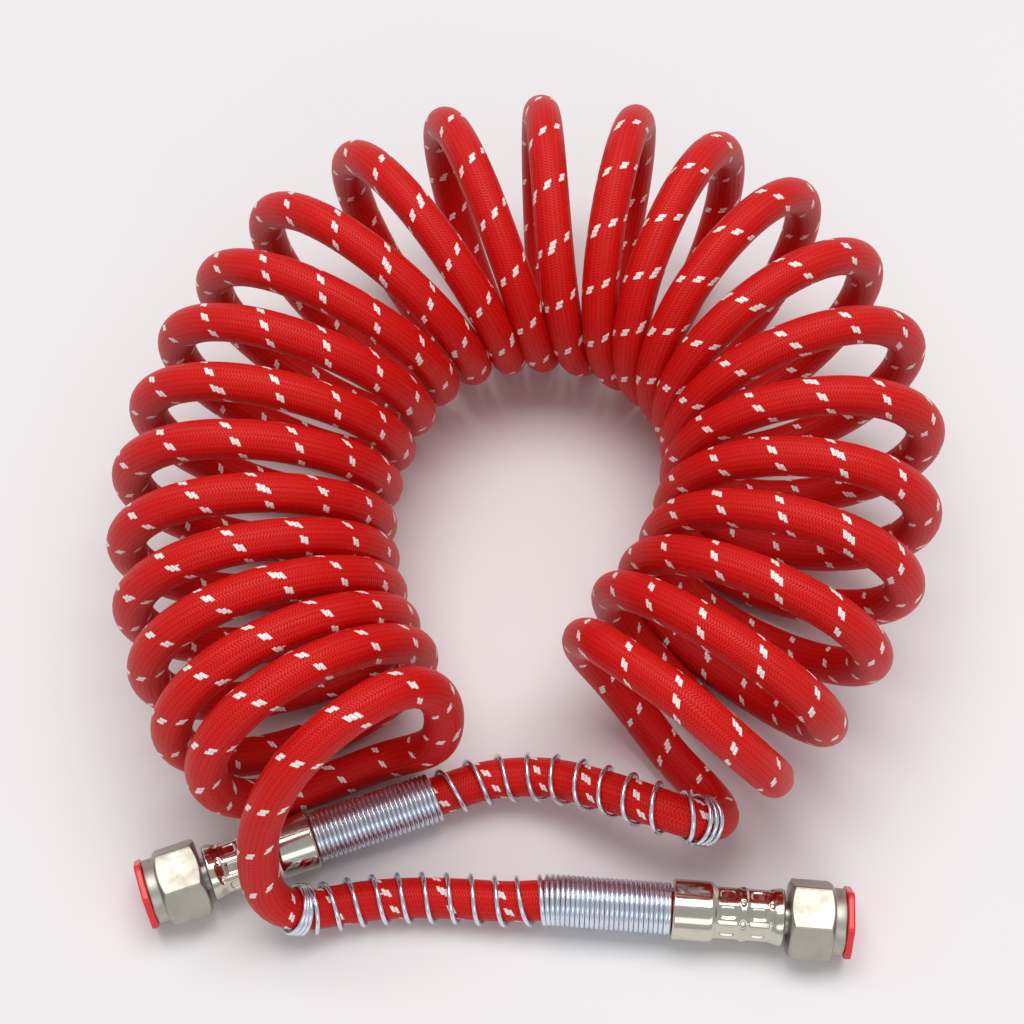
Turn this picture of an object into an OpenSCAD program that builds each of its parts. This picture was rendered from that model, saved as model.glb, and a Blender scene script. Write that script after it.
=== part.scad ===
// Coiled air hose: a braided recoil hose with a swivel nut, a crimped ferrule,
// a guard spring and a dust plug on each end, laid down in a C-shaped coil.

/* [Hose] */
// Outer diameter of the hose, and of its braided cover
hose_d = 15; // [13:0.5:15]
// Bore of the hose
hose_bore = 9; // [9:0.1:10]
// Radius of a turn of the coil, to the middle of the hose
coil_r = 47; // [44:0.5:48]

/* [Guard springs] */
// Thickness of the spring wire
wire_d = 1.75; // [1.2:0.05:1.75]
// Outside diameter of the spring
spring_od = 19.5; // [19.5:0.1:20.5]
// Length of the close-wound part behind the ferrule
close_len = 49; // [48:0.5:49]
// Turns in the open-wound part
open_turns = 10; // [8:1:12]

/* [Ferrules] */
// Length of the crimped ferrule
ferrule_len = 41; // [41:0.5:42]
// Outside diameter of the ferrule
ferrule_d = 22.5; // [21:0.5:23]

/* [Swivel nuts] */
// Width across the flats of the nut
nut_af = 27; // [26.5:0.5:27]
// Length of the hexagon
nut_hex_len = 16; // [15:0.5:16]
// Length of the round collar in front of the hexagon
nut_collar_len = 4.5; // [4:0.5:5]
// Diameter of the round collar
nut_collar_d = 24.6; // [24.2:0.1:26]
// Minor diameter of the nut's thread (M22 x 1.5)
thread_minor_d = 20.376; // [20:0.001:20.4]

/* [Dust plugs] */
// Width across the flats of the plug's flange
plug_af = 25; // [24:0.5:25.5]
// Thickness of the plug's flange
plug_flange = 2.6; // [2:0.1:3]

/* [Hidden] */

// Colours
BRAID_RED = [0.80, 0.08, 0.07];
LINER_BLACK = [0.12, 0.12, 0.12];
SPRING_ZINC = [0.70, 0.75, 0.80];
FERRULE_NICKEL = [0.78, 0.77, 0.70];
STEM_STEEL = [0.55, 0.55, 0.55];
NUT_NICKEL = [0.82, 0.80, 0.74];
SEAL_BLACK = [0.08, 0.08, 0.08];
PLUG_RED = [0.85, 0.08, 0.10];

// Smoothness of the round parts
ROUND = 64;
HOSE_SIDES = 10;
COIL_SIDES = 32;
COIL_RINGS = 48;
WIRE_SIDES = 6;
RINGS_PER_SPRING_TURN = 8;

// --- The coil -----------------------------------------------------------
// The axis of the coil lies level, at the height at which the turns rest on
// the floor, and bends clockwise through these arcs, from the left end:
// [bend radius, turns, spacing of the turns on the inner side]
ARCS = [[170, 4.5, 15.2], [166, 5, 16.2], [104, 5, 17.1], [104, 5, 15], [162, 6, 16.8]];
AXIS_START = [-66, -121.9];
AXIS_HEADING = 131.4;
// Place of the hose round the axis at turn 0, from the outer side upwards
START_PHASE = 31.8;
// How far each turn leans outwards, as a part of its height
LEAN_OUT = 0.18;
// How far each turn leans along the axis: [turn, part of its height]
LEAN_ALONG = [[0, 0], [4.5, -0.18], [9.5, 0], [14.5, -0.12], [19.5, -0.12], [25.5, 0.44]];
// The first turn is pushed back, off the ferrule that lies beside it
PUSHED_TURN = [0.41, 1.41];
PUSHED_BACK = 6.4;
// The coil's solid, in turns; the rest of the helix belongs to the tails
COIL_TURNS = [1.1875, 24];
TAIL_A_JOINS = 0.6875;
TAIL_B_JOINS = 24.125;
TURN_STEP = 1 / 16;

hose_r = hose_d / 2;
axis_z = coil_r + hose_r;

function pitch(i) = ARCS[i][2] / (1 - coil_r / ARCS[i][0]);
function first_turn(i) = i == 0 ? 0 : first_turn(i - 1) + ARCS[i - 1][1];
function sweep(i, turns) = turns * pitch(i) / ARCS[i][0] * 180 / PI;
function heading(i) = i == 0 ? AXIS_HEADING : heading(i - 1) - sweep(i - 1, ARCS[i - 1][1]);
function arc_centre(i) = arc_start(i) + ARCS[i][0] * [sin(heading(i)), -cos(heading(i))];
function arc_start(i) = i == 0 ? AXIS_START : arc_point(i - 1, heading(i));
function arc_point(i, h) = arc_centre(i) + ARCS[i][0] * [-sin(h), cos(h)];
function arc_of(u, i = 0) = i + 1 < len(ARCS) && u >= first_turn(i + 1) ? arc_of(u, i + 1) : i;

// Heading and place of the coil's axis at turn u
function axis_heading(u) = let (i = arc_of(u)) heading(i) - sweep(i, u - first_turn(i));
function axis_point(u) = let (p = arc_point(arc_of(u), axis_heading(u))) [p[0], p[1], axis_z];

// One point of the helix at turn u
function coil_point(u) =
    let (
        h = axis_heading(u),
        along = [cos(h), sin(h), 0],
        out = [-sin(h), cos(h), 0],
        ph = 360 * u + START_PHASE,
        lean = [0, 0, 1] + LEAN_OUT * out + lookup(u, LEAN_ALONG) * along
    )
    axis_point(u) + [0, pushed(u), 0] + coil_r * (cos(ph) * out + sin(ph) * lean);

function pushed(u) =
    u > PUSHED_TURN[0] && u < PUSHED_TURN[1] ? PUSHED_BACK * pow(sin(180 * (u - PUSHED_TURN[0])), 2) : 0;

// --- The tails ----------------------------------------------------------
// Each fitting lies on the floor on a flat of its nut. Its own axis starts
// at the ferrule's back face and runs out through the nut.
FITTING_Z = 13.5;
FITTING_A = [51.6, -159.5, FITTING_Z];
FITTING_B = [-83.5, -131.8, FITTING_Z];
HEADING_A = -4.5;
HEADING_B = 199.7;

// Route of the hose from the guard spring's close-wound end to the coil
ROUTE_A = [
    [-8, -156, 11.5], [-27, -154.5, 10.3], [-45, -154, 10], [-61, -155, 10], [-73, -157, 10.5],
    [-83, -159.5, 12.5], [-91, -160.8, 17.5], [-96.3, -159.8, 25], [-99, -157, 34],
    [-99.3, -153.8, 44], [-98.7, -150.3, 54], [-97, -146.5, 64], [-92.5, -141.5, 77],
    [-85, -134.5, 88.5], [-75, -127, 96.5], [-64, -119, 100.5], [-53.5, -111.5, 99.5],
    [-45, -105.5, 93.5], [-38.8, -101.5, 84], [-34.8, -99.8, 72.5], [-33, -100, 60],
    [-33.5, -101.3, 47.5], [-36, -101.5, 35.5], [-41, -100, 24], [-48.5, -98.5, 15],
    [-58.5, -99, 9.5],
];
ROUTE_B = [
    [-20, -109, 13.8], [-8, -107.5, 14.3], [6, -109, 18], [21, -115, 24.5], [36, -122.5, 31.5],
    [44, -127, 35.3], [52.5, -131, 37], [61, -132.3, 34], [67.8, -130, 27.2], [71, -124.5, 19],
    [68.8, -116, 12.3], [62.5, -106.5, 9], [55.5, -98, 8], [49.3, -90, 9.5], [42.8, -82.5, 14],
    [35.8, -76.5, 21.5], [29, -72, 30.5], [23.3, -70, 40], [19.5, -69.8, 50], [18, -71.8, 61],
    [18.5, -75.8, 72], [21, -81.2, 82], [25, -88, 90.5],
];

// Where the hose's solid ends inside the ferrule, measured from its back face
HOSE_END = 3;

function on_fitting(place, turned, s) = place + s * [cos(turned), sin(turned), 0];
function fitting_stretch(place, turned) =
    [for (s = [HOSE_END, -20, 3 - close_len]) on_fitting(place, turned, s)];

tail_a = concat(
    fitting_stretch(FITTING_A, HEADING_A), ROUTE_A,
    [for (u = [TAIL_A_JOINS:TURN_STEP:COIL_TURNS[0]]) coil_point(u)]
);
tail_b = concat(
    fitting_stretch(FITTING_B, HEADING_B), ROUTE_B,
    [for (u = [TAIL_B_JOINS:-TURN_STEP:COIL_TURNS[1]]) coil_point(u)]
);

// --- The fittings, from the ferrule's back face -------------------------
ferrule_r = ferrule_d / 2;
LIP_LEN = 3;
lip_s = ferrule_len - LIP_LEN;
SLEEVE_END = lip_s - 1;
LINER_R = 6;
STEM_TAIL_R = hose_bore / 2;
STEM_BORE_R = 3;
STEM_GROOVE_R = 5.5;
STEM_NECK_R = 6;
STEM_HEAD_R = 9;
STEM_NOSE_R = 6.6;
BARB_DEPTH = 0.35;
NUT_GAP = 2;
NUT_WALL = 3.4;
SWIVEL_CLEARANCE = 0.1;
THREAD_LEN = 10;
MOUTH_LEN = 3;
MOUTH_R = 11.05;
RELIEF_R = 10.6;
nut_s = ferrule_len + NUT_GAP;
nut_front = nut_s + nut_hex_len + nut_collar_len;
thread_end = nut_front - MOUTH_LEN;
thread_start = thread_end - THREAD_LEN;
head_s = nut_s + NUT_WALL + 0.2;
HEAD_LEN = 2.4;
NOSE_LEN = 1.4;
PLUG_GAP = 0.1;
PLUG_RIM_R = 10.95;
PLUG_RIM_WALL = 1.4;

// --- Shared shapes ------------------------------------------------------
function unit(v) = v / norm(v);
function tangent(path, i) = unit(path[min(i + 1, len(path) - 1)] - path[max(i - 1, 0)]);
function side_of(t) = unit(cross(abs(t[2]) > 0.9 ? [0, 1, 0] : [0, 0, 1], t));

// A frame that is carried along the path without twisting: a list of sides
function carried_sides(path, i = 0, sides = []) =
    i == len(path) ? sides :
    let (
        t = tangent(path, i),
        last = i == 0 ? side_of(t) : sides[i - 1],
        s = unit(last - (last * t) * t)
    )
    carried_sides(path, i + 1, concat(sides, [s]));

// A closed tube of radius r along the points of a path
module tube_along(path, r, n) {
    sides = carried_sides(path);
    rings = [
        for (i = [0:len(path) - 1])
            let (t = tangent(path, i), a = sides[i], b = cross(t, a))
            for (k = [0:n - 1]) path[i] + r * (cos(360 * k / n) * a + sin(360 * k / n) * b)
    ];
    last = len(path) - 1;
    walls = [
        for (i = [0:last - 1])
            for (k = [0:n - 1])
                let (m = (k + 1) % n, p = i * n, q = (i + 1) * n)
                for (f = [[p + k, q + k, q + m], [p + k, q + m, p + m]]) f
    ];
    back_cap = [for (k = [1:n - 2]) [0, k, k + 1]];
    front_cap = [for (k = [1:n - 2]) [last * n, last * n + k + 1, last * n + k]];
    polyhedron(points = rings, faces = concat(walls, back_cap, front_cap));
}

// A smooth curve through the path's points, at a distance s along its chords
function chords(path) = [for (i = [0:len(path) - 2]) norm(path[i + 1] - path[i])];
function running(list, i = 0, sum = 0, out = [0]) =
    i == len(list) ? out : running(list, i + 1, sum + list[i], concat(out, [sum + list[i]]));
function segment_at(marks, s, i = 0) =
    i + 2 < len(marks) && s >= marks[i + 1] ? segment_at(marks, s, i + 1) : i;
function curve_at(path, marks, s) =
    let (
        i = segment_at(marks, s),
        f = (s - marks[i]) / (marks[i + 1] - marks[i]),
        b = path[i],
        c = path[i + 1],
        a = i > 0 ? path[i - 1] : 2 * b - c,
        d = i + 2 < len(path) ? path[i + 2] : 2 * c - b
    )
    0.5 * (2 * b + (c - a) * f + (2 * a - 5 * b + 4 * c - d) * f * f + (3 * b - 3 * c + d - a) * f * f * f);

// Puts a shape that is drawn along +Z onto a fitting's axis
module on_axis(place, turned) {
    translate(place)
        rotate([0, 0, turned])
            rotate([0, 90, 0])
                children();
}

module ring(r_in, r_out, from, to) {
    translate([0, 0, from])
        rotate_extrude($fn = ROUND)
            translate([r_in, 0])
                square([r_out - r_in, to - from]);
}

// A hexagon with flats above and below once it lies on the fitting's axis
module hexagon(across_flats, from, to) {
    translate([0, 0, from])
        rotate([0, 0, 30])
            cylinder(r = across_flats / 2 / cos(30), h = to - from, $fn = 6);
}

// --- The hose -----------------------------------------------------------
// The outer shape of the wound turns, as one bent round bar
module hose_coil() {
    step = (COIL_TURNS[1] - COIL_TURNS[0]) / COIL_RINGS;
    axis = [for (k = [0:COIL_RINGS]) axis_point(COIL_TURNS[0] + k * step)];
    color(BRAID_RED) tube_along(axis, coil_r + hose_r, COIL_SIDES);
}

module hose_tail_a() {
    color(BRAID_RED) tube_along(tail_a, hose_r, HOSE_SIDES);
}

module hose_tail_b() {
    color(BRAID_RED) tube_along(tail_b, hose_r, HOSE_SIDES);
}

// The end of the hose inside the ferrule: its smooth inner tube
module hose_liner(place, turned) {
    color(LINER_BLACK) on_axis(place, turned) ring(STEM_TAIL_R, LINER_R, HOSE_END, SLEEVE_END);
}

// The end of the hose inside the ferrule: its braided cover
module hose_cover(place, turned) {
    color(BRAID_RED) on_axis(place, turned) ring(LINER_R, hose_r, HOSE_END, SLEEVE_END);
}

// --- Guard spring: close-wound behind the ferrule, then open, then closed -
CLOSED_END_TURNS = 3;
CLOSE_PITCH = 1.8;
SPRING_GAP = 0.2;
OPEN_LEN_A = 90;
OPEN_LEN_B = 108;

module guard_spring(path, open_len) {
    marks = running(chords(path));
    wire_r = wire_d / 2;
    coil = spring_od / 2 - wire_r;
    close_turns = floor((close_len - wire_d) / CLOSE_PITCH);
    turns = close_turns + open_turns + CLOSED_END_TURNS;
    start = HOSE_END + SPRING_GAP + wire_r;
    close_end = close_turns * CLOSE_PITCH;
    stations = [[0, 0], [close_turns, close_end], [close_turns + open_turns, close_end + open_len],
        [turns, close_end + open_len + CLOSED_END_TURNS * CLOSE_PITCH]];
    helix = [
        for (k = [0:turns * RINGS_PER_SPRING_TURN])
            let (
                turn = k / RINGS_PER_SPRING_TURN,
                s = start + lookup(turn, stations),
                here = curve_at(path, marks, s),
                t = unit(curve_at(path, marks, s + 0.5) - curve_at(path, marks, s - 0.5)),
                a = side_of(t),
                b = cross(t, a)
            )
            here + coil * (cos(360 * turn) * a + sin(360 * turn) * b)
    ];
    color(SPRING_ZINC) tube_along(helix, wire_r, WIRE_SIDES);
}

// --- Ferrule: a sleeve crimped over the hose, with a lip in the stem's groove
module ferrule(place, turned) {
    bell = 0.35;
    crimp = 0.95;
    color(FERRULE_NICKEL)
        on_axis(place, turned)
            rotate_extrude($fn = ROUND)
                polygon([
                    [hose_r, 0], [ferrule_r, 0], [ferrule_r, 14.5], [ferrule_r - crimp, 15.5],
                    [ferrule_r - crimp, 20.5], [ferrule_r - bell, 21.5], [ferrule_r - bell, 26.5],
                    [ferrule_r - crimp, 27.5], [ferrule_r - crimp, 33.5], [ferrule_r - bell, 34.5],
                    [ferrule_r - bell, ferrule_len - 1], [ferrule_r - bell - 1, ferrule_len],
                    [STEM_GROOVE_R, ferrule_len], [STEM_GROOVE_R, lip_s], [hose_r, lip_s],
                ]);
}

// --- Hose stem: barbed tail in the hose, neck for the nut, head and nose --
module hose_stem(place, turned) {
    barb_r = STEM_TAIL_R - BARB_DEPTH;
    barbs = [
        for (s = [8:6:32])
            for (p = [[barb_r, s], [STEM_TAIL_R, s + 4.5], [STEM_TAIL_R, s + 6]]) p
    ];
    color(STEM_STEEL)
        on_axis(place, turned)
            rotate_extrude($fn = ROUND)
                polygon(concat(
                    [[STEM_BORE_R, HOSE_END + 2], [STEM_TAIL_R - 0.8, HOSE_END + 2]],
                    barbs,
                    [
                        [STEM_TAIL_R, lip_s], [STEM_GROOVE_R, lip_s], [STEM_GROOVE_R, ferrule_len],
                        [STEM_NECK_R, ferrule_len], [STEM_NECK_R, head_s], [STEM_HEAD_R, head_s],
                        [STEM_HEAD_R, head_s + HEAD_LEN], [STEM_NOSE_R, head_s + HEAD_LEN],
                        [STEM_NOSE_R, head_s + HEAD_LEN + NOSE_LEN - 0.4],
                        [STEM_NOSE_R - 0.4, head_s + HEAD_LEN + NOSE_LEN],
                        [STEM_BORE_R, head_s + HEAD_LEN + NOSE_LEN],
                    ]
                ));
}

// --- Swivel nut: it turns on the stem's neck and is held by the stem's head
module swivel_nut(place, turned) {
    corner_r = nut_af / 2 / cos(30);
    chamfer = 1.2;
    hex_end = nut_s + nut_hex_len;
    color(NUT_NICKEL)
        on_axis(place, turned)
            difference() {
                union() {
                    intersection() {
                        hexagon(nut_af, nut_s, hex_end);
                        rotate_extrude($fn = ROUND)
                            polygon([
                                [0, nut_s], [corner_r - 2, nut_s], [corner_r + 0.1, nut_s + chamfer],
                                [corner_r + 0.1, hex_end - chamfer], [corner_r - 2, hex_end], [0, hex_end],
                            ]);
                    }
                    translate([0, 0, hex_end - 1])
                        cylinder(d = nut_collar_d, h = nut_collar_len + 1, $fn = ROUND);
                }
                translate([0, 0, nut_s - 1])
                    cylinder(r = STEM_NECK_R + SWIVEL_CLEARANCE, h = NUT_WALL + 2, $fn = ROUND);
                translate([0, 0, nut_s + NUT_WALL])
                    cylinder(r = RELIEF_R, h = thread_start - nut_s - NUT_WALL, $fn = ROUND);
                translate([0, 0, thread_start - 1])
                    cylinder(d = thread_minor_d, h = THREAD_LEN + 2, $fn = ROUND);
                translate([0, 0, thread_end])
                    cylinder(r = MOUTH_R, h = MOUTH_LEN + 1, $fn = ROUND);
            }
}

// --- Seal ring: a flat rubber ring round the stem's nose -----------------
module seal_ring(place, turned) {
    from = head_s + HEAD_LEN;
    color(SEAL_BLACK)
        on_axis(place, turned)
            ring(STEM_NOSE_R, STEM_HEAD_R - 0.3, from, from + NOSE_LEN - 0.2);
}

// --- Dust plug: a hexagonal flange with a rim that pushes into the nut ---
module dust_plug(place, turned) {
    flange_s = nut_front + PLUG_GAP;
    rim_len = MOUTH_LEN - 0.3;
    corner_r = plug_af / 2 / cos(30);
    color(PLUG_RED)
        on_axis(place, turned)
            union() {
                intersection() {
                    hexagon(plug_af, flange_s, flange_s + plug_flange);
                    translate([0, 0, flange_s])
                        cylinder(r = corner_r - 0.5, h = plug_flange, $fn = ROUND);
                }
                ring(PLUG_RIM_R - PLUG_RIM_WALL, PLUG_RIM_R, flange_s - rim_len, flange_s + 1);
            }
}

hose_coil();
hose_tail_a();
hose_tail_b();
hose_liner(FITTING_A, HEADING_A);  // hose_liner_a
hose_liner(FITTING_B, HEADING_B);  // hose_liner_b
hose_cover(FITTING_A, HEADING_A);  // hose_cover_a
hose_cover(FITTING_B, HEADING_B);  // hose_cover_b
guard_spring(tail_a, OPEN_LEN_A);  // guard_spring_a
guard_spring(tail_b, OPEN_LEN_B);  // guard_spring_b
ferrule(FITTING_A, HEADING_A);  // ferrule_a
ferrule(FITTING_B, HEADING_B);  // ferrule_b
hose_stem(FITTING_A, HEADING_A);  // hose_stem_a
hose_stem(FITTING_B, HEADING_B);  // hose_stem_b
swivel_nut(FITTING_A, HEADING_A);  // swivel_nut_a
swivel_nut(FITTING_B, HEADING_B);  // swivel_nut_b
seal_ring(FITTING_A, HEADING_A);  // seal_ring_a
seal_ring(FITTING_B, HEADING_B);  // seal_ring_b
dust_plug(FITTING_A, HEADING_A);  // dust_plug_a
dust_plug(FITTING_B, HEADING_B);  // dust_plug_b
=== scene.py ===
"""Looks of the coiled air hose: braided hose, guard springs, crimped ferrules, swivel nuts and dust plugs.

Lengths are in millimetres until the meshes are made, and every mesh is in metres in the CAD's frame.
"""

import math

import bpy
import numpy as np
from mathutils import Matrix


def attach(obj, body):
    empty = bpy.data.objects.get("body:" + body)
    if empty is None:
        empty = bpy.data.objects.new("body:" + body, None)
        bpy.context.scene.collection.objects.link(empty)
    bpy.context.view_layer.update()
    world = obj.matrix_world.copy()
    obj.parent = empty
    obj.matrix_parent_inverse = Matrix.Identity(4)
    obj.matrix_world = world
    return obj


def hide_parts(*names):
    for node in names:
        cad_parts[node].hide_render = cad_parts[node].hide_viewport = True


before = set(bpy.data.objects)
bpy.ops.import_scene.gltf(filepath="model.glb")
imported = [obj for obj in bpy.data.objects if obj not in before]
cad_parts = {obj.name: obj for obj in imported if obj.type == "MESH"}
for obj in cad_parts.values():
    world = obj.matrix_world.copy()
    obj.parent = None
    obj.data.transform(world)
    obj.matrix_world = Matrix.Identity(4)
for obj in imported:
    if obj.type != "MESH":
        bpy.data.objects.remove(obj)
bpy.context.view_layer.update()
MM = 0.001
TURN = 2 * math.pi
UP = np.array([0.0, 0.0, 1.0])

# --- Sizes, as in the CAD but for LEAN_ALONG, SHIFT_ALONG and SHIFT_OUT ---------------
ENDS = ("a", "b")
HOSE_R = 7.5
COIL_R = 47.0
AXIS_Z = COIL_R + HOSE_R
# Arcs of the coil's axis: bend radius, turns, spacing of the turns inside
ARCS = [(170, 4.5, 15.2), (166, 5, 16.2), (104, 5, 17.1), (104, 5, 15.0), (162, 6, 16.8)]
AXIS_START = (-66.0, -121.9)
AXIS_HEADING = 131.4
START_PHASE = 31.8
# Millimetres that a turn leans per millimetre of height: away from the bend, and along the axis by turn
LEAN_OUT = 0.18
LEAN_ALONG = [
    (0, 0), (4.5, -0.18), (7, -0.22), (11, -0.235), (13, -0.14), (15, -0.185), (17, -0.09),
    (19, -0.05), (21, 0.04), (23, 0.187), (25.5, 0.44),
]
# Millimetres by which the turns lie off the CAD's even spacing: (turn, offset)
SHIFT_ALONG = [
    (5.5, 0), (7, 3.1), (9, 9.5), (11, 9.5), (13, 4.8), (15, 2), (19, 0), (21, 0.6), (23, 2), (24, 0),
]
SHIFT_OUT = [(5.5, 0), (9, -3), (11, -3.5), (13, -2), (15, -0.8), (19, -0.7), (21, 0.8), (23, 1.2), (24, 0)]
# The first turn is pushed back, off the ferrule beside it, by up to PUSHED_BACK
PUSHED_TURN = (0.41, 1.41)
PUSHED_BACK = 6.4
# Turns of the coil at which the two tails join it
TAIL_A_JOINS = 0.6875
TAIL_B_JOINS = 24.125

FITTING_Z = 13.5
# Each ferrule's back face, the way its fitting points and the angle of its crimp dies, in degrees
FITTINGS = {
    "a": {"place": (51.6, -159.5, FITTING_Z), "heading": -4.5, "dies": 16.5},
    "b": {"place": (-83.5, -131.8, FITTING_Z), "heading": 199.7, "dies": 20.0},
}
# The hose from each fitting to the coil
ROUTE_A = [
    (-8, -156, 11.5), (-27, -154.5, 10.3), (-45, -154, 10), (-61, -155, 10), (-73, -157, 10.5),
    (-83, -159.5, 12.5), (-91, -160.8, 17.5), (-96.3, -159.8, 25), (-99, -157, 34),
    (-99.3, -153.8, 44), (-98.7, -150.3, 54), (-97, -146.5, 64), (-92.5, -141.5, 77),
    (-85, -134.5, 88.5), (-75, -127, 96.5), (-64, -119, 100.5), (-53.5, -111.5, 99.5),
    (-45, -105.5, 93.5), (-38.8, -101.5, 84), (-34.8, -99.8, 72.5), (-33, -100, 60),
    (-33.5, -101.3, 47.5), (-36, -101.5, 35.5), (-41, -100, 24), (-48.5, -98.5, 15),
    (-58.5, -99, 9.5),
]
ROUTE_B = [
    (-20, -109, 13.8), (-8, -107.5, 14.3), (6, -109, 18), (21, -115, 24.5), (36, -122.5, 31.5),
    (44, -127, 35.3), (52.5, -131, 37), (61, -132.3, 34), (67.8, -130, 27.2), (71, -124.5, 19),
    (68.8, -116, 12.3), (62.5, -106.5, 9), (55.5, -98, 8), (49.3, -90, 9.5), (42.8, -82.5, 14),
    (35.8, -76.5, 21.5), (29, -72, 30.5), (23.3, -70, 40), (19.5, -69.8, 50), (18, -71.8, 61),
    (18.5, -75.8, 72), (21, -81.2, 82), (25, -88, 90.5),
]
# Where the hose ends inside each ferrule, from the ferrule's back face
HOSE_END = 3.0
# Length of hose that each spring's close turns keep straight
CLOSE_LEN = 49.0


# --- Camera ---------------------------------------------------------------------------
CAMERA_ELEVATION = math.radians(60.5)
CAMERA_DISTANCE = 0.8197
CAMERA_TARGET = (-0.008, 0.018, 0.0)
SENSOR_WIDTH = 36
FOCAL_LENGTH = 68.03


def make_camera():
    data = bpy.data.cameras.new("camera")
    data.sensor_width = SENSOR_WIDTH
    data.lens = FOCAL_LENGTH
    camera = bpy.data.objects.new("camera", data)
    bpy.context.scene.collection.objects.link(camera)
    camera.location = (
        CAMERA_TARGET[0],
        CAMERA_TARGET[1] - CAMERA_DISTANCE * math.cos(CAMERA_ELEVATION),
        CAMERA_TARGET[2] + CAMERA_DISTANCE * math.sin(CAMERA_ELEVATION),
    )
    camera.rotation_euler = (math.radians(90) - CAMERA_ELEVATION, 0, 0)
    bpy.context.scene.camera = camera


make_camera()


# --- The hose's route -----------------------------------------------------------------
HELIX_POINTS_PER_TURN = 32
CURVE_STEPS = 10
LINE_SPACING = 1.0
SOFTENING_REACH = 4


def arc_table():
    """Per arc of the axis: first turn, bend radius, pitch, centre and heading."""
    table, first, point, heading = [], 0.0, np.array(AXIS_START), math.radians(AXIS_HEADING)
    for radius, turns, inner_spacing in ARCS:
        pitch = inner_spacing / (1 - COIL_R / radius)
        centre = point + radius * np.array([math.sin(heading), -math.cos(heading)])
        table.append((first, radius, pitch, centre, heading))
        heading -= turns * pitch / radius
        point = centre + radius * np.array([-math.sin(heading), math.cos(heading)])
        first += turns
    return table


ARC_TABLE = arc_table()


def coil_point(u):
    """The middle of the hose at turn u of the coil."""
    first, radius, pitch, centre, heading = [row for row in ARC_TABLE if row[0] <= u][-1]
    h = heading - (u - first) * pitch / radius
    along = np.array([math.cos(h), math.sin(h), 0])
    out = np.array([-math.sin(h), math.cos(h), 0])
    axis = np.array([*(centre + radius * out[:2]), AXIS_Z])
    if PUSHED_TURN[0] < u < PUSHED_TURN[1]:
        axis[1] += PUSHED_BACK * math.sin(math.pi * (u - PUSHED_TURN[0])) ** 2
    axis += np.interp(u, *zip(*SHIFT_ALONG)) * along + np.interp(u, *zip(*SHIFT_OUT)) * out
    phase = TURN * u + math.radians(START_PHASE)
    lean = np.interp(u, *zip(*LEAN_ALONG))
    return axis + COIL_R * (math.cos(phase) * out + math.sin(phase) * (UP + LEAN_OUT * out + lean * along))


def fitting_axis(end):
    """The middle of a ferrule's back face, and the way its fitting points."""
    fitting = FITTINGS[end]
    turned = math.radians(fitting["heading"])
    return np.array(fitting["place"]), np.array([math.cos(turned), math.sin(turned), 0.0])


def fitting_stretch(end):
    """Points of the straight hose behind a fitting, from the hose's end."""
    place, out = fitting_axis(end)
    return [place + out * s for s in (HOSE_END, -6, -15, -25, -36, HOSE_END - CLOSE_LEN)]


def smooth_curve(points):
    """Centripetal Catmull-Rom through the points."""
    pts = np.array(points, float)
    pts = np.vstack([2 * pts[0] - pts[1], pts, 2 * pts[-1] - pts[-2]])
    out = []
    for p0, p1, p2, p3 in zip(pts, pts[1:], pts[2:], pts[3:]):
        t1 = np.linalg.norm(p1 - p0) ** 0.5
        t2 = t1 + np.linalg.norm(p2 - p1) ** 0.5
        t3 = t2 + np.linalg.norm(p3 - p2) ** 0.5
        t = np.linspace(t1, t2, CURVE_STEPS, endpoint=False)[:, None]
        a1 = (t1 - t) / t1 * p0 + t / t1 * p1
        a2 = (t2 - t) / (t2 - t1) * p1 + (t - t1) / (t2 - t1) * p2
        a3 = (t3 - t) / (t3 - t2) * p2 + (t - t2) / (t3 - t2) * p3
        b1 = (t2 - t) / t2 * a1 + t / t2 * a2
        b2 = (t3 - t) / (t3 - t1) * a2 + (t - t1) / (t3 - t1) * a3
        out.append((t2 - t) / (t2 - t1) * b1 + (t - t1) / (t2 - t1) * b2)
    out.append(pts[-2][None])
    return np.vstack(out)


def distances(points):
    """How far along the line each of its points is."""
    return np.concatenate([[0], np.cumsum(np.linalg.norm(np.diff(points, axis=0), axis=1))])


def at_distance(points, marks, s):
    """The values at s along the line whose points are at marks."""
    return np.stack([np.interp(s, marks, points[:, i]) for i in range(3)], axis=-1)


def respaced(points, spacing):
    marks = distances(points)
    count = int(round(marks[-1] / spacing)) + 1
    return at_distance(points, marks, np.linspace(0, marks[-1], count))


def softened(points, reach):
    """Evens out the bends with a bell-shaped running average of width reach. The ends are held."""
    weights = np.exp(-0.5 * (np.arange(-3 * reach, 3 * reach + 1) / reach) ** 2)
    weights /= weights.sum()
    pad = 3 * reach
    ends_held = np.vstack([
        2 * points[0] - points[pad:0:-1], points, 2 * points[-1] - points[-2:-pad - 2:-1],
    ])
    return np.stack([np.convolve(ends_held[:, i], weights, "valid") for i in range(3)], axis=-1)


def hose_centreline():
    turns = np.arange(TAIL_A_JOINS, TAIL_B_JOINS + 1e-6, 1 / HELIX_POINTS_PER_TURN)
    helix = [coil_point(u) for u in turns]
    route = fitting_stretch("a") + ROUTE_A + helix + (fitting_stretch("b") + ROUTE_B)[::-1]
    return softened(respaced(smooth_curve(route), LINE_SPACING), SOFTENING_REACH)


CENTRELINE = hose_centreline()
MARKS = distances(CENTRELINE)


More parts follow.
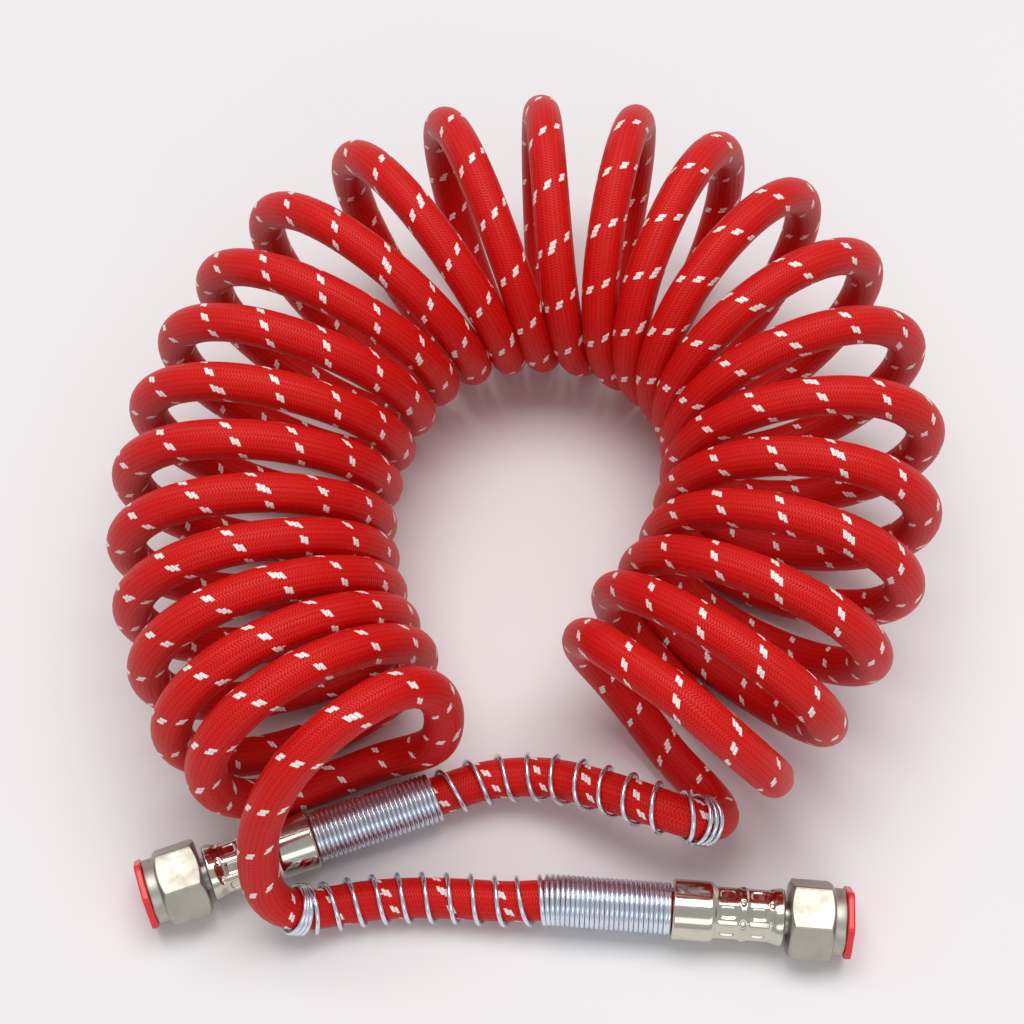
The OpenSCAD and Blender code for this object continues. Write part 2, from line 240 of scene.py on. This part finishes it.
def carried_frames(points):
    """Two sides of the line at each point, carried along without twisting."""
    tangents = np.gradient(points, axis=0)
    tangents /= np.linalg.norm(tangents, axis=1)[:, None]
    start = UP if abs(tangents[0][2]) < 0.9 else np.array([0.0, 1.0, 0.0])
    sides, side = [], start
    for t in tangents:
        side = side - (side @ t) * t
        side = side / np.linalg.norm(side)
        sides.append(side)
    sides = np.array(sides)
    return sides, np.cross(tangents, sides)


# --- Meshes ---------------------------------------------------------------------------
def new_mesh(name, points, faces, material, body):
    mesh = bpy.data.meshes.new(name)
    mesh.from_pydata((np.asarray(points) * MM).tolist(), [], faces)
    mesh.validate()
    mesh.materials.append(material)
    mesh.shade_smooth()
    piece = bpy.data.objects.new(name, mesh)
    bpy.context.scene.collection.objects.link(piece)
    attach(piece, body)
    return piece


def add_uv(piece, rows, around, along_at, wraps):
    """A UV map over a rows x around grid: U once round, V in metres along."""
    layer = piece.data.uv_layers.new(name="weave")
    uv = []
    for row in range(rows if wraps else rows - 1):
        v0, v1 = along_at[row], along_at[(row + 1) % rows]
        for k in range(around):
            u0, u1 = k / around, (k + 1) / around
            uv += [u0, v0, u1, v0, u1, v1, u0, v1]
    uv += [0.0] * (2 * len(layer.data) - len(uv))
    layer.data.foreach_set("uv", uv)


def grid_faces(rows, around, wraps):
    faces = []
    for row in range(rows if wraps else rows - 1):
        p, q = row * around, ((row + 1) % rows) * around
        for k in range(around):
            m = (k + 1) % around
            faces.append((p + k, p + m, q + m, q + k))
    if not wraps:
        faces.append(tuple(range(around))[::-1])
        faces.append(tuple(range((rows - 1) * around, rows * around)))
    return faces


def tube(name, points, radius, sides_n, material, body):
    """A tube along the points, with its ends closed. radius is one number or one per point."""
    a, b = carried_frames(points)
    turn = np.arange(sides_n) * TURN / sides_n
    r = np.broadcast_to(np.asarray(radius, float), (len(points),))[:, None, None]
    ring = np.cos(turn)[None, :, None] * a[:, None] + np.sin(turn)[None, :, None] * b[:, None]
    rings = points[:, None] + r * ring
    faces = grid_faces(len(points), sides_n, False)
    piece = new_mesh(name, rings.reshape(-1, 3), faces, material, body)
    add_uv(piece, len(points), sides_n, distances(points) * MM, False)
    return piece


def turned_piece(name, end, rows, around, material, body):
    """A ring on a fitting's axis. rows is a list of (s, r), where r is one radius or one per angle."""
    place, out = fitting_axis(end)
    side = np.cross(out, UP)
    turn = np.arange(around) * TURN / around
    ring = np.cos(turn)[:, None] * UP + np.sin(turn)[:, None] * side
    points = [place + s * out + np.broadcast_to(r, (around,))[:, None] * ring for s, r in rows]
    faces = grid_faces(len(rows), around, True)
    piece = new_mesh(name, np.vstack(points), faces, material, body)
    profile = np.array([(s, float(np.mean(r)), 0) for s, r in rows])
    add_uv(piece, len(rows), around, distances(profile) * MM, True)
    return piece


# --- Shader helpers -------------------------------------------------------------------
class Shader:
    """Builds one Principled material. Sockets and numbers mix freely in its calls."""

    def __init__(self, name, **surface):
        self.material = bpy.data.materials.new(name)
        self.material.use_nodes = True
        self.tree = self.material.node_tree
        self.surface = self.tree.nodes["Principled BSDF"]
        for key, value in surface.items():
            self.set(key.replace("_", " "), value)

    def fill(self, target, value):
        if isinstance(value, bpy.types.NodeSocket):
            self.tree.links.new(value, target)
        elif target.type == "RGBA" and len(value) == 3:
            target.default_value = (*value, 1)
        else:
            target.default_value = value

    def set(self, socket, value):
        self.fill(self.surface.inputs[socket], value)

    def node(self, kind, values, output=0, **settings):
        node = self.tree.nodes.new(kind)
        for key, value in settings.items():
            setattr(node, key, value)
        for key, value in values.items():
            self.fill(node.inputs[key], value)
        return node.outputs[output]

    def math(self, operation, *values):
        return self.node("ShaderNodeMath", dict(enumerate(values)), operation=operation)

    def step(self, value, low, high):
        """0 below low, 1 above high, smooth between."""
        values = {0: value, 1: low, 2: high, 3: 0.0, 4: 1.0}
        return self.node("ShaderNodeMapRange", values, interpolation_type="SMOOTHSTEP")

    def mix(self, factor, first, second):
        return self.node("ShaderNodeMix", {0: factor, 6: first, 7: second}, output=2, data_type="RGBA")

    def noise(self, vector, scale, detail=2.0, roughness=0.5):
        values = {"Vector": vector, "Scale": scale, "Detail": detail, "Roughness": roughness}
        return self.node("ShaderNodeTexNoise", values)

    def bump(self, height, distance, strength, normal=None):
        values = {"Height": height, "Distance": distance, "Strength": strength}
        if normal is not None:
            values["Normal"] = normal
        return self.node("ShaderNodeBump", values)

    def weave_uv(self):
        """The UV map, and its two parts: rounds of the piece and metres along it."""
        uv = self.tree.nodes.new("ShaderNodeUVMap")
        uv.uv_map = "weave"
        parts = self.tree.nodes.new("ShaderNodeSeparateXYZ")
        self.tree.links.new(uv.outputs[0], parts.inputs[0])
        return uv.outputs[0], parts.outputs[0], parts.outputs[1]

    def place(self):
        """Where the point is on the object, in metres."""
        return self.node("ShaderNodeTexCoord", {}, output=3)


# --- Braided cover --------------------------------------------------------------------
WALES = 24
# Metres of hose per stitch, and stitches by which one slants across its wale
STITCH = 0.0011
STITCH_SLANT = 0.9
# White tracer marks per round of the hose, and metres from one round of marks to the next
FLECKS_ROUND = 7
FLECK_LEAD = 0.022
# The yarn passes of a mark, (along, around) in millimetres. Only marks above a chance have the third
YARN_PASSES = ((-0.8, -0.3), (0.8, 0.3), (2.4, 0.8))
THIRD_PASS_CHANCE = 0.92
# Where a pass fades out and where it is full, from its middle: along the hose and round it
PASS_ALONG = (0.70, 0.56)
PASS_AROUND = (1.5, 1.3)
# Slant of a pass: millimetres along the hose per millimetre round it
FLECK_SLANT = 0.42
FLECK_WANDER = 0.8
FLECK_FRAY = 0.5


def braid_material():
    s = Shader(
        "braid", Sheen_Weight=0.05, Sheen_Roughness=0.3, Sheen_Tint=(1.0, 0.1, 0.05),
        Specular_IOR_Level=0.22,
    )
    uv, around, along = s.weave_uv()

    # Wales of slanted stitches: each second wale slants the other way
    wale = s.math("MULTIPLY", around, WALES)
    across = s.math("FRACT", wale)
    parity = s.math("MODULO", s.math("FLOOR", wale), 2.0)
    slant = s.math("SUBTRACT", 1.0, s.math("MULTIPLY", parity, 2.0))
    shift = s.math("MULTIPLY", s.math("MULTIPLY", across, slant), STITCH_SLANT)
    stitch = s.math("FRACT", s.math("ADD", s.math("DIVIDE", along, STITCH), shift))
    ridge = s.math("SINE", s.math("MULTIPLY", stitch, math.pi))
    crown = s.math("SINE", s.math("MULTIPLY", across, math.pi))
    height = s.math("MULTIPLY", s.math("POWER", ridge, 0.7), s.math("POWER", crown, 0.3))

    # Tracer marks on a helix round the hose
    turn = s.math("MULTIPLY", around, float(FLECKS_ROUND))
    nearest = s.math("ROUND", turn)
    off_around = s.math("MULTIPLY", s.math("SUBTRACT", turn, nearest), TURN * HOSE_R / FLECKS_ROUND)
    rounds = s.math("DIVIDE", along, FLECK_LEAD)
    row = s.math("SUBTRACT", rounds, s.math("DIVIDE", nearest, float(FLECKS_ROUND)))
    row_no = s.math("ROUND", row)
    off_along = s.math("MULTIPLY", s.math("SUBTRACT", row, row_no), FLECK_LEAD / MM)
    column = s.math("MODULO", nearest, float(FLECKS_ROUND))
    key = s.node("ShaderNodeCombineXYZ", {0: column, 1: row_no})
    chance = s.node("ShaderNodeTexWhiteNoise", {"Vector": key}, noise_dimensions="3D")
    off_along = s.math("ADD", off_along, s.math("MULTIPLY", s.math("SUBTRACT", chance, 0.5), FLECK_WANDER))
    fray = s.math("MULTIPLY", s.math("SUBTRACT", s.noise(uv, 2400.0, 1.0), 0.5), FLECK_FRAY)
    mark = None
    for number, (ahead, across_by) in enumerate(YARN_PASSES):
        x = s.math("SUBTRACT", off_along, ahead)
        y = s.math("ADD", s.math("SUBTRACT", off_around, across_by), fray)
        x = s.math("SUBTRACT", x, s.math("MULTIPLY", y, FLECK_SLANT))
        wide = s.step(s.math("ABSOLUTE", x), *PASS_ALONG)
        long = s.step(s.math("ABSOLUTE", y), *PASS_AROUND)
        stroke = s.math("MULTIPLY", wide, long)
        if number == 2:
            stroke = s.math("MULTIPLY", stroke, s.math("GREATER_THAN", chance, THIRD_PASS_CHANCE))
        mark = stroke if mark is None else s.math("MAXIMUM", mark, stroke)

    # Colours: painted shade darkens the red and the white marks in the valleys, with uneven dye and single
    # bright fibres
    thread = s.noise(uv, 900.0, 2.0, 0.6)
    dye = s.noise(uv, 9.0, 3.0)
    # Painted shade: the red is darker in the valleys between the stitches
    red = s.mix(s.step(height, 0.1, 0.8), (0.36, 0.0, 0.0), (0.74, 0.006, 0.003))
    red = s.mix(s.math("MULTIPLY", s.step(dye, 0.35, 0.7), 0.3), red, (0.56, 0.002, 0.002))
    red = s.mix(s.math("MULTIPLY", s.step(thread, 0.62, 0.8), 0.2), red, (0.88, 0.03, 0.015))
    # Painted shade: the white marks are darker in the valleys between the stitches
    white = s.mix(s.step(height, 0.02, 0.4), (0.66, 0.50, 0.44), (0.95, 0.91, 0.85))
    s.set("Base Color", s.mix(mark, red, white))
    s.set("Roughness", s.math("ADD", 0.30, s.math("MULTIPLY", thread, 0.14)))
    lift = s.math("ADD", height, s.math("MULTIPLY", mark, 0.35))
    s.set("Normal", s.bump(lift, 0.0002, 0.8, s.bump(thread, 0.00003, 0.5)))
    return s.material


# --- Metals, rubber and plastic -------------------------------------------------------
def scratched(s, vector, base, dull, amount):
    """Roughness that varies with cloudy wear and fine handling marks."""
    cloud = s.noise(vector, 130.0, 4.0, 0.6)
    marks = s.noise(vector, 2600.0, 2.0, 0.7)
    rough = s.math("ADD", base, s.math("MULTIPLY", s.step(cloud, 0.35, 0.75), dull))
    s.set("Roughness", rough)
    s.set("Normal", s.bump(marks, 0.00001, amount, s.bump(cloud, 0.00008, amount)))
    return cloud


def metal_material(name, bright, dark, roughness, dull, amount):
    s = Shader(name, Metallic=1.0)
    cloud = scratched(s, s.place(), roughness, dull, amount)
    s.set("Base Color", s.mix(s.step(cloud, 0.3, 0.75), bright, dark))
    return s.material


def spring_material():
    s = Shader("spring_zinc", Metallic=1.0)
    place = s.place()
    _, around, along = s.weave_uv()
    cloud = scratched(s, place, 0.22, 0.10, 0.2)
    # Drawing lines along the wire
    stretched = {0: s.math("MULTIPLY", around, 14.0), 1: s.math("MULTIPLY", along, 90.0)}
    key = s.node("ShaderNodeCombineXYZ", stretched)
    lines = s.noise(key, 1.0, 2.0)
    shade = s.mix(s.step(lines, 0.3, 0.8), (0.82, 0.89, 0.97), (0.66, 0.72, 0.82))
    dulled = s.math("MULTIPLY", s.step(cloud, 0.4, 0.8), 0.4)
    s.set("Base Color", s.mix(dulled, shade, (0.62, 0.60, 0.68)))
    return s.material


def rubber_material(name, colour):
    s = Shader(name)
    grain = s.noise(s.place(), 1800.0, 3.0)
    s.set("Base Color", s.mix(s.step(grain, 0.4, 0.8), colour, tuple(c + 0.03 for c in colour)))
    s.set("Roughness", s.math("ADD", 0.5, s.math("MULTIPLY", grain, 0.25)))
    s.set("Normal", s.bump(grain, 0.00003, 0.5))
    return s.material


def plug_material():
    s = Shader("plug_red", Subsurface_Weight=0.25, Subsurface_Scale=0.002, Coat_Weight=0.2)
    place = s.place()
    flow = s.noise(place, 160.0, 3.0)
    scuff = s.noise(place, 1500.0, 2.0, 0.7)
    s.set("Base Color", s.mix(s.step(flow, 0.35, 0.7), (0.74, 0.008, 0.012), (0.80, 0.022, 0.026)))
    s.set("Roughness", s.math("ADD", 0.28, s.math("MULTIPLY", s.step(scuff, 0.5, 0.8), 0.2)))
    s.set("Normal", s.bump(scuff, 0.00002, 0.4, s.bump(flow, 0.0001, 0.4)))
    return s.material


BRAID = braid_material()
SPRING = spring_material()
FERRULE = metal_material("ferrule_nickel", (0.68, 0.65, 0.55), (0.60, 0.565, 0.47), 0.12, 0.08, 0.06)
NUT = metal_material("nut_nickel", (0.50, 0.48, 0.41), (0.43, 0.41, 0.345), 0.40, 0.12, 0.45)
STEM = metal_material("stem_steel", (0.50, 0.49, 0.47), (0.36, 0.35, 0.34), 0.28, 0.15, 0.6)
LINER = rubber_material("liner_black", (0.025, 0.025, 0.027))
SEAL = rubber_material("seal_black", (0.015, 0.015, 0.015))
PLUG = plug_material()


# --- The hose -------------------------------------------------------------------------
RING_SPACING = 3.7
HOSE_SIDES = 40


def make_hose():
    points = respaced(CENTRELINE, RING_SPACING)
    hose = tube("hose", points, HOSE_R, HOSE_SIDES, BRAID, "root")
    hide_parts("hose_coil", "hose_tail_a", "hose_tail_b")
    return hose, points


hose, hose_path = make_hose()

# --- Guard springs --------------------------------------------------------------------
WIRE_R = 0.9
WIRE_SIDES = 12
SPRING_OUTER_R = 9.75
SPRING_MEAN_R = SPRING_OUTER_R - WIRE_R
CLOSE_PITCH = 1.815
FIRST_PITCH = 0.9
CLOSE_TURNS = 26.5
OPEN_TURNS = 10
END_TURNS = 3
WIRE_RINGS_PER_TURN = 26
# Between the ferrule's back face and the wire
SPRING_GAP = 0.2
OPEN_LEN = {"a": 90.0, "b": 108.0}
# Where the wire starts round the hose, so the wedge behind the ferrule lies out of sight
WIRE_STARTS = {"a": 225.0, "b": -60.0}


def make_spring(end):
    turns = CLOSE_TURNS + OPEN_TURNS + END_TURNS
    turn = np.linspace(0, turns, int(turns * WIRE_RINGS_PER_TURN))
    close_len = (CLOSE_TURNS - 1) * CLOSE_PITCH
    stations = np.cumsum([0, FIRST_PITCH, close_len, OPEN_LEN[end], END_TURNS * CLOSE_PITCH])
    along = np.interp(turn, np.cumsum([0, 1, CLOSE_TURNS - 1, OPEN_TURNS, END_TURNS]), stations)
    # A running average over half a turn, so that the pitch changes smoothly
    window = np.ones(WIRE_RINGS_PER_TURN // 2)
    pad = len(window) // 2
    padded_along = np.concatenate([
        along[0] - (along[pad:0:-1] - along[0]), along, along[-1] + (along[-1] - along[-2:-pad - 2:-1]),
    ])
    along = np.convolve(padded_along, window / len(window), "valid")[: len(turn)]
    along = along + HOSE_END + SPRING_GAP + WIRE_R
    line = CENTRELINE if end == "a" else CENTRELINE[::-1]
    a, b = carried_frames(line)
    marks = distances(line)
    middle, side, other = (at_distance(v, marks, along) for v in (line, a, b))
    swing = TURN * turn[:, None] + math.radians(WIRE_STARTS[end])
    helix = middle + SPRING_MEAN_R * (np.cos(swing) * side + np.sin(swing) * other)
    spring = tube(f"spring_{end}", helix, WIRE_R, WIRE_SIDES, SPRING, "root")
    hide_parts(f"guard_spring_{end}")
    return spring


# --- Ferrules -------------------------------------------------------------------------
FERRULE_LEN = 41.0
FERRULE_ROWS = 150
FERRULE_SIDES = 192
# (s, radius) outside: skirt, first band, bump, second band and flare
FERRULE_OUTSIDE = [
    (0, 10.9), (0.5, 11.25), (13.4, 11.25), (14.4, 11.1), (15.6, 10.3), (16.8, 9.85), (23.6, 9.85),
    (24.6, 10.2), (26.0, 10.35), (27.4, 10.2), (28.4, 9.8), (34.4, 9.8), (35.8, 10.1), (38.0, 10.45),
    (40.3, 10.75), (41.0, 10.4),
]
# (s, radius) inside: front face, the stem's hole, the room for the hose and the skirt's lip
FERRULE_INSIDE = [
    (FERRULE_LEN + 0.05, 9.9), (FERRULE_LEN + 0.05, 5.7), (FERRULE_LEN - 0.2, 5.52), (38, 5.5),
    (38, 7.5), (20, 7.5), (3.2, 7.5), (1.2, 7.75), (0.0, 8.3), (-0.08, 9.6), (-0.05, 10.6),
]
DIES = 8
DIE_STEP = TURN / DIES
# Distance of each die's flat from the axis, and where the flats begin and fade out
DIE_FLAT = 9.45
FLATS_BEGIN = (15.2, 16.8)
FLATS_FADE = (34.4, 38.5)
# The bump between the bands keeps a quarter of the flats
BUMP_AT = 26.0
BUMP_HALF = (1.9, 0.9)
BUMP_ROUNDING = 0.75
# Recess under each die, (middle, half length) in each band
RECESSES = ((20.1, 3.1), (31.4, 2.9))
RECESS_HALF_WIDTH = 2.35
RECESS_DEPTH = 0.42
# Moon-shaped marks between the dies: (middle, depth)
MOONS = ((26.0, 0.55), (36.6, 0.5))
MOON_EDGE = (0.9, 1.7)


def blend_step(x, low, high):
    t = np.clip((x - low) / (high - low), 0, 1)
    return t * t * (3 - 2 * t)


def ferrule_radius(s, turn, dies_at):
    """Outside radius of the ferrule at s along it, for each angle in turn."""
    base = np.interp(s, *zip(*FERRULE_OUTSIDE))
    off = (turn - dies_at + DIE_STEP / 2) % DIE_STEP - DIE_STEP / 2
    bump = 1 - BUMP_ROUNDING * blend_step(abs(s - BUMP_AT), *BUMP_HALF)
    crimped = blend_step(s, *FLATS_BEGIN) * bump * (1 - blend_step(s, *FLATS_FADE))
    flat = DIE_FLAT / np.cos(off)
    radius = base + crimped * (np.minimum(base, flat) - base)
    for middle, half in RECESSES:
        x, y = (s - middle) / half, off * base / RECESS_HALF_WIDTH
        inside = (abs(x) ** 4 + abs(y) ** 4) ** 0.25
        radius = radius - RECESS_DEPTH * (1 - blend_step(inside, 0.78, 1.0))
    between = (turn - dies_at) % DIE_STEP - DIE_STEP / 2
    for middle, depth in MOONS:
        x, y = s - middle, between * base
        moon = np.hypot(x, y) + 0.9 * blend_step(x, -0.2, 1.0)
        radius = radius - depth * (1 - blend_step(moon, *MOON_EDGE))
    return radius


def make_ferrule(end):
    turn = np.arange(FERRULE_SIDES) * TURN / FERRULE_SIDES
    dies_at = math.radians(FITTINGS[end]["dies"])
    stations = np.linspace(0, FERRULE_LEN, FERRULE_ROWS)
    rows = [(s, ferrule_radius(s, turn, dies_at)) for s in stations] + FERRULE_INSIDE
    name = f"crimped_ferrule_{end}"
    ferrule = turned_piece(name, end, rows, FERRULE_SIDES, FERRULE, "root")
    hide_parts(f"ferrule_{end}")
    return ferrule


# --- Swivel nuts ----------------------------------------------------------------------
NUT_BACK = 43.0
HEX_END = 59.0
NUT_FRONT = 63.5
THREAD_END = 60.5
THREAD_START = 50.5
THREAD_PITCH = 1.5
NUT_FLAT = 13.5
COLLAR_R = 12.3
HEX_SIDES = 240
# Radius of the chamfer at the hexagon's ends, its rise per millimetre and the roundness of its edge
CHAMFER_R = 13.15
CHAMFER_RISE = 1.75
CHAMFER_SOFT = 0.12
THREAD_CREST_R = 10.19
THREAD_DEPTH = 0.8
THREAD_ROWS = 84
# (s, radius) from the thread's end through the stem's hole to the back face
NUT_INSIDE = [
    (50.4, 10.6), (46.6, 10.6), (46.4, 10.4), (46.4, 6.3), (46.2, 6.1), (43.3, 6.1), (43.0, 6.4),
    (42.98, 9.0), (42.98, 12.4),
]


def hexagon_radius(turn, flat, edge=0.25):
    """A hexagon whose corners are rounded over about edge millimetres."""
    off = (turn + math.pi / 6) % (math.pi / 3) - math.pi / 6
    sharp = flat / np.cos(off)
    corner = flat / math.cos(math.pi / 6)
    return sharp - edge * blend_step(sharp, corner - 2.2 * edge, corner) * 0.5


def make_nut(end):
    turn = np.arange(HEX_SIDES) * TURN / HEX_SIDES
    hexagon = hexagon_radius(turn, NUT_FLAT)
    rows = []
    stations = np.concatenate([
        np.linspace(NUT_BACK, NUT_BACK + 3, 16), np.linspace(NUT_BACK + 4, HEX_END - 3, 8),
        np.linspace(HEX_END - 2.8, HEX_END, 15),
    ])
    for s in stations:
        from_end = min(s - NUT_BACK, HEX_END - s)
        chamfer = CHAMFER_R + CHAMFER_RISE * from_end
        both = np.exp(-hexagon / CHAMFER_SOFT) + np.exp(-chamfer / CHAMFER_SOFT)
        soft = -CHAMFER_SOFT * np.log(both + 1e-200)
        rows.append((s, np.minimum(soft, hexagon)))
    rows += [(HEX_END + 0.05, 12.8), (HEX_END + 0.15, COLLAR_R + 0.12), (HEX_END + 0.5, COLLAR_R)]
    rows += [(s, COLLAR_R) for s in (60.2, 61.8, 62.9)]
    rows += [
        (63.3, COLLAR_R - 0.12), (NUT_FRONT, COLLAR_R - 0.4), (NUT_FRONT, 11.4), (63.3, 11.12),
        (62.9, 11.06), (61.6, 11.05), (60.7, 11.05),
    ]
    for s in np.linspace(THREAD_END, THREAD_START, THREAD_ROWS):
        phase = (s / THREAD_PITCH - turn / TURN) % 1
        groove = THREAD_DEPTH * np.clip(1.15 - abs(phase - 0.5) * 2.6, 0, 1)
        fade = min(1, (THREAD_END - s + 0.1) / 0.6, (s - THREAD_START + 0.1) / 0.6)
        rows.append((s, THREAD_CREST_R + np.maximum(groove * fade, 0)))
    rows += NUT_INSIDE
    nut = turned_piece(f"nut_{end}", end, rows, HEX_SIDES, NUT, f"nut_{end}")
    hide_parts(f"swivel_nut_{end}")
    return nut


# --- Dust plugs -----------------------------------------------------------------------
PLUG_FLAT = 12.5
PLUG_CORNER = 13.9
PLUG_EDGE = 0.6
PLUG_BARREL_R = 10.72
PLUG_RIBS = 12
RIB_HEIGHT = 0.22
# The head's two faces
PLUG_BACK, PLUG_FRONT = NUT_FRONT + 0.1, NUT_FRONT + 2.7


def make_plug(end):
    turn = np.arange(HEX_SIDES) * TURN / HEX_SIDES
    hexagon = np.minimum(hexagon_radius(turn, PLUG_FLAT, PLUG_EDGE), PLUG_CORNER)
    ribs = RIB_HEIGHT * np.clip(np.cos(PLUG_RIBS * turn), 0, 1) ** 3
    back, front = PLUG_BACK, PLUG_FRONT
    rows = [
        (60.9, 9.55), (60.8, 9.75), (60.8, 10.5), (61.1, PLUG_BARREL_R), (61.8, PLUG_BARREL_R + ribs),
        (63.0, PLUG_BARREL_R + ribs), (back - 0.05, 10.8), (back, 11.4),
    ]
    rows += [(back, hexagon - 0.6), (back + 0.12, hexagon - 0.2), (back + 0.4, hexagon)]
    rows += [(s, hexagon) for s in np.linspace(back + 0.7, front - 0.7, 4)]
    rows += [(front - 0.35, hexagon - 0.05), (front - 0.1, hexagon - 0.25), (front, hexagon - 0.6)]
    rows += [(front, hexagon - 1.5), (front - 0.15, hexagon - 1.9), (front - 0.7, hexagon - 2.6)]
    rows += [
        (front - 0.85, 8.8), (front - 0.9, 5.5), (front - 0.8, 2.6), (front - 0.55, 2.2),
        (front - 0.5, 1.0), (front - 0.5, 0.2),
    ]
    rows += [(back + 0.4, 0.2), (back + 0.4, 5.0), (back + 0.3, 9.0), (61.2, 9.5)]
    plug = turned_piece(f"plug_{end}", end, rows, HEX_SIDES, PLUG, f"plug_{end}")
    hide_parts(f"dust_plug_{end}")
    return plug


for end in ENDS:
    make_spring(end)
    make_ferrule(end)
    make_nut(end)
    make_plug(end)

# --- CAD pieces that stay as they are, with their materials ---------------------------
KEPT_NODES = {"hose_liner": LINER, "hose_cover": BRAID, "hose_stem": STEM, "seal_ring": SEAL}
for kind, material in KEPT_NODES.items():
    for end in ENDS:
        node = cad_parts[f"{kind}_{end}"]
        for material_slot in node.material_slots:
            material_slot.material = material


# --- Floor, light and tone ------------------------------------------------------------
FLOOR_HALF = 3.0
WORLD_COLOUR = (0.95, 0.96, 1.0, 1)
WORLD_POWER = 0.50
LIGHTS_AIM = (0, 0, 0)
# Name, place, size, power and colour
AREA_LIGHTS = [
    ("overhead", (0.0, 0.35, 1.9), (1.7, 1.1), 25, (1.0, 0.98, 0.97)),
    ("front", (0.3, -1.5, 0.9), (1.6, 0.6), 4, (0.95, 0.97, 1.0)),
]


def make_floor():
    half = FLOOR_HALF
    mesh = bpy.data.meshes.new("floor")
    corners = [(-half, -half, 0), (half, -half, 0), (half, half, 0), (-half, half, 0)]
    mesh.from_pydata(corners, [], [(0, 1, 2, 3)])
    s = Shader("floor_white", Roughness=0.55)
    cloud = s.noise(s.place(), 3.0, 3.0)
    s.set("Base Color", s.mix(cloud, (0.80, 0.785, 0.785), (0.83, 0.82, 0.82)))
    mesh.materials.append(s.material)
    floor = bpy.data.objects.new("floor", mesh)
    bpy.context.scene.collection.objects.link(floor)


def area_light(name, place, size, power, colour):
    data = bpy.data.lights.new(name, "AREA")
    data.shape = "RECTANGLE"
    data.size, data.size_y = size
    data.energy = power
    data.color = colour
    light = bpy.data.objects.new(name, data)
    bpy.context.scene.collection.objects.link(light)
    light.location = place
    x, y, z = (t - p for t, p in zip(LIGHTS_AIM, place))
    light.rotation_euler = (math.atan2(math.hypot(x, y), -z), 0, math.atan2(-x, y))


def make_light():
    world = bpy.data.worlds.new("studio")
    world.use_nodes = True
    background = world.node_tree.nodes["Background"]
    background.inputs[0].default_value = WORLD_COLOUR
    background.inputs[1].default_value = WORLD_POWER
    bpy.context.scene.world = world
    for light in AREA_LIGHTS:
        area_light(*light)


make_floor()
make_light()
bpy.context.scene.view_settings.view_transform = "Standard"
